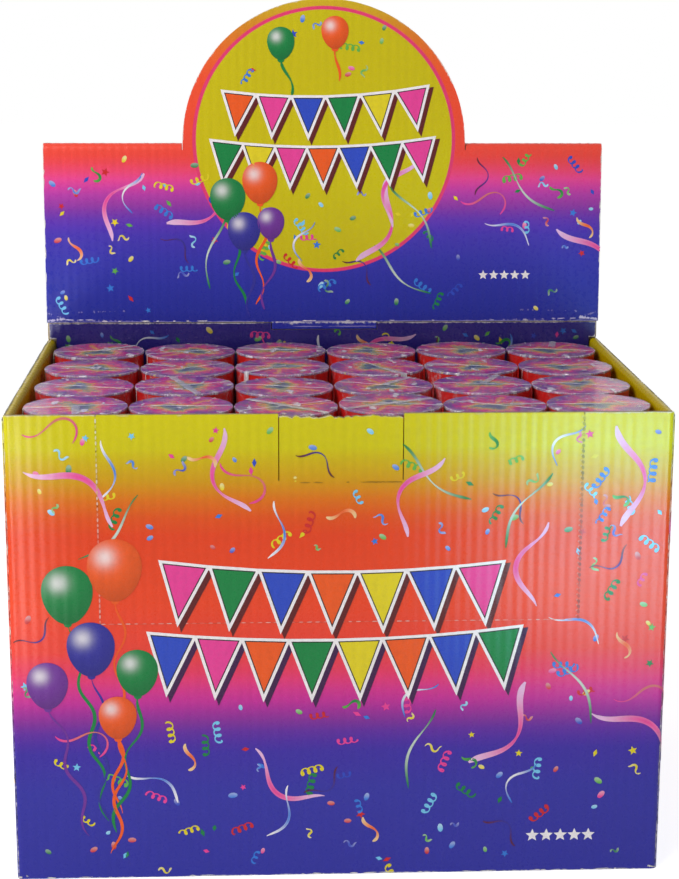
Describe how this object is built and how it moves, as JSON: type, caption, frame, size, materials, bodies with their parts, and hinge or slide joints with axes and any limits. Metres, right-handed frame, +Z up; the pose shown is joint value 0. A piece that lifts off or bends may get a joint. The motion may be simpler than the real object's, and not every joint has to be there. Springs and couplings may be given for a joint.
{
  "type": "confetti popper display carton",
  "caption": "Corrugated counter-display carton with a fold-up half-round header and a tear-out front, filled with twist-grip confetti poppers that lift out; one is complete inside.",
  "frame": {"origin": "middle of the carton's underside", "axes": "+X to the right of the printed front, +Y towards the back, +Z up"},
  "size_m": [0.2094, 0.1453, 0.2795],
  "materials": {
    "printed_front": "gloss printed",
    "printed_sides": "gloss printed",
    "printed_flap": "gloss printed",
    "printed_header": "gloss printed",
    "plain_board": "matt",
    "wound_tube": "matt",
    "red_label": "gloss printed",
    "printed_disc": "gloss printed",
    "clear_film": "clear",
    "moulded_plug": "moulded",
    "moulded_cam": "moulded",
    "drawn_metal": "satin",
    "turned_brass": "turned",
    "seal_rubber": "matt",
    "streamer_paper": "matt",
    "confetti_paper": "matt"
  },
  "bodies": {
    "carton": {"front_wall": "printed_front", "back_wall": "printed_sides", "left_wall": "printed_sides", "right_wall": "printed_sides", "left_dust_flap": "printed_flap", "right_dust_flap": "printed_flap", "glue_tab": "plain_board", "bottom_outer_flaps": "plain_board", "bottom_inner_flaps": "plain_board"},
    "tear_panel": {"tear_panel": "printed_front"},
    "lock_flap": {"lock_flap": "printed_front"},
    "tuck_flap": {"lid_tuck_flap": "printed_header"},
    "header": {"header_front_panel": "printed_header"},
    "lid_back": {"lid_back_panel": "printed_header"},
    "barrel": {"barrel_tube": "wound_tube", "barrel_label": "red_label", "coupler_sleeve": "wound_tube", "cam_collar": "moulded_cam"},
    "grip": {"grip_tube": "wound_tube", "grip_label": "red_label", "base_plug": "moulded_plug", "cylinder_cradle": "moulded_plug", "air_cylinder": "drawn_metal", "valve_body": "turned_brass"},
    "valve": {"valve_pin": "turned_brass", "valve_seal": "seal_rubber"},
    "charge": {"wad_disc": "plain_board", "streamer_rolls": "streamer_paper", "confetti_load": "confetti_paper"},
    "cover": {"top_disc": "printed_disc", "shrink_film": "clear_film"},
    "popper_r1c1": {"popper_r1c1": "red_label"},
    "popper_r1c2": {"popper_r1c2": "red_label"},
    "popper_r1c3": {"popper_r1c3": "red_label"},
    "popper_r1c5": {"popper_r1c5": "red_label"},
    "popper_r1c6": {"popper_r1c6": "red_label"},
    "popper_r2c1": {"popper_r2c1": "red_label"},
    "popper_r2c2": {"popper_r2c2": "red_label"},
    "popper_r2c3": {"popper_r2c3": "red_label"},
    "popper_r2c4": {"popper_r2c4": "red_label"},
    "popper_r2c5": {"popper_r2c5": "red_label"},
    "popper_r2c6": {"popper_r2c6": "red_label"},
    "popper_r3c1": {"popper_r3c1": "red_label"},
    "popper_r3c2": {"popper_r3c2": "red_label"},
    "popper_r3c3": {"popper_r3c3": "red_label"},
    "popper_r3c4": {"popper_r3c4": "red_label"},
    "popper_r3c5": {"popper_r3c5": "red_label"},
    "popper_r3c6": {"popper_r3c6": "red_label"},
    "popper_r4c1": {"popper_r4c1": "red_label"},
    "popper_r4c2": {"popper_r4c2": "red_label"},
    "popper_r4c3": {"popper_r4c3": "red_label"},
    "popper_r4c4": {"popper_r4c4": "red_label"},
    "popper_r4c5": {"popper_r4c5": "red_label"},
    "popper_r4c6": {"popper_r4c6": "red_label"}
  },
  "joints": [
    {"name": "tuck_flap_lift", "type": "slide", "parent": "carton", "child": "tuck_flap", "axis": [0, 0, 1], "range_m": [0, 0.026]},
    {"name": "header_fold", "type": "hinge", "parent": "tuck_flap", "child": "header", "pos_m": [0, 0.06575, 0.1604], "axis": [-1, 0, 0], "range_deg": [-88, 0]},
    {"name": "lid_fold", "type": "hinge", "parent": "carton", "child": "lid_back", "pos_m": [0, 0.07045, 0.1537], "axis": [-1, 0, 0], "range_deg": [0, 100]},
    {"name": "tear_panel_pull", "type": "slide", "parent": "carton", "child": "tear_panel", "axis": [0, -1, 0], "range_m": [0, 0.06]},
    {"name": "lock_flap_fold", "type": "hinge", "parent": "tear_panel", "child": "lock_flap", "pos_m": [0, -0.07045, 0.1325], "axis": [1, 0, 0], "range_deg": [0, 150]},
    {"name": "popper_lift", "type": "slide", "parent": "carton", "child": "barrel", "axis": [0, 0, 1], "range_m": [0, 0.155]},
    {"name": "grip_twist", "type": "hinge", "parent": "barrel", "child": "grip", "pos_m": [0.0167, -0.0515, 0], "axis": [0, 0, 1], "range_deg": [0, 90]},
    {"name": "charge_launch", "type": "slide", "parent": "barrel", "child": "charge", "axis": [0, 0, 1], "range_m": [0, 0.055]},
    {"name": "cover_pop", "type": "slide", "parent": "barrel", "child": "cover", "axis": [0, 0, 1], "range_m": [0, 0.11]},
    {"name": "valve_push", "type": "slide", "parent": "grip", "child": "valve", "axis": [0, 0, -1], "range_m": [0, 0.003]},
    {"name": "unit_lift_r1c1", "type": "slide", "parent": "carton", "child": "popper_r1c1", "axis": [0, 0, 1], "range_m": [0, 0.155]},
    {"name": "unit_lift_r1c2", "type": "slide", "parent": "carton", "child": "popper_r1c2", "axis": [0, 0, 1], "range_m": [0, 0.155]},
    {"name": "unit_lift_r1c3", "type": "slide", "parent": "carton", "child": "popper_r1c3", "axis": [0, 0, 1], "range_m": [0, 0.155]},
    {"name": "unit_lift_r1c5", "type": "slide", "parent": "carton", "child": "popper_r1c5", "axis": [0, 0, 1], "range_m": [0, 0.155]},
    {"name": "unit_lift_r1c6", "type": "slide", "parent": "carton", "child": "popper_r1c6", "axis": [0, 0, 1], "range_m": [0, 0.155]},
    {"name": "unit_lift_r2c1", "type": "slide", "parent": "carton", "child": "popper_r2c1", "axis": [0, 0, 1], "range_m": [0, 0.155]},
    {"name": "unit_lift_r2c2", "type": "slide", "parent": "carton", "child": "popper_r2c2", "axis": [0, 0, 1], "range_m": [0, 0.155]},
    {"name": "unit_lift_r2c3", "type": "slide", "parent": "carton", "child": "popper_r2c3", "axis": [0, 0, 1], "range_m": [0, 0.155]},
    {"name": "unit_lift_r2c4", "type": "slide", "parent": "carton", "child": "popper_r2c4", "axis": [0, 0, 1], "range_m": [0, 0.155]},
    {"name": "unit_lift_r2c5", "type": "slide", "parent": "carton", "child": "popper_r2c5", "axis": [0, 0, 1], "range_m": [0, 0.155]},
    {"name": "unit_lift_r2c6", "type": "slide", "parent": "carton", "child": "popper_r2c6", "axis": [0, 0, 1], "range_m": [0, 0.155]},
    {"name": "unit_lift_r3c1", "type": "slide", "parent": "carton", "child": "popper_r3c1", "axis": [0, 0, 1], "range_m": [0, 0.155]},
    {"name": "unit_lift_r3c2", "type": "slide", "parent": "carton", "child": "popper_r3c2", "axis": [0, 0, 1], "range_m": [0, 0.155]},
    {"name": "unit_lift_r3c3", "type": "slide", "parent": "carton", "child": "popper_r3c3", "axis": [0, 0, 1], "range_m": [0, 0.155]},
    {"name": "unit_lift_r3c4", "type": "slide", "parent": "carton", "child": "popper_r3c4", "axis": [0, 0, 1], "range_m": [0, 0.155]},
    {"name": "unit_lift_r3c5", "type": "slide", "parent": "carton", "child": "popper_r3c5", "axis": [0, 0, 1], "range_m": [0, 0.155]},
    {"name": "unit_lift_r3c6", "type": "slide", "parent": "carton", "child": "popper_r3c6", "axis": [0, 0, 1], "range_m": [0, 0.155]},
    {"name": "unit_lift_r4c1", "type": "slide", "parent": "carton", "child": "popper_r4c1", "axis": [0, 0, 1], "range_m": [0, 0.155]},
    {"name": "unit_lift_r4c2", "type": "slide", "parent": "carton", "child": "popper_r4c2", "axis": [0, 0, 1], "range_m": [0, 0.155]},
    {"name": "unit_lift_r4c3", "type": "slide", "parent": "carton", "child": "popper_r4c3", "axis": [0, 0, 1], "range_m": [0, 0.155]},
    {"name": "unit_lift_r4c4", "type": "slide", "parent": "carton", "child": "popper_r4c4", "axis": [0, 0, 1], "range_m": [0, 0.155]},
    {"name": "unit_lift_r4c5", "type": "slide", "parent": "carton", "child": "popper_r4c5", "axis": [0, 0, 1], "range_m": [0, 0.155]},
    {"name": "unit_lift_r4c6", "type": "slide", "parent": "carton", "child": "popper_r4c6", "axis": [0, 0, 1], "range_m": [0, 0.155]}
  ],
  "couplings": [
    {"joint": "valve_push", "follows": "grip_twist", "m_per_rad": 0.0019098},
    {"joint": "cover_pop", "follows": "charge_launch", "ratio": 2}
  ]
}
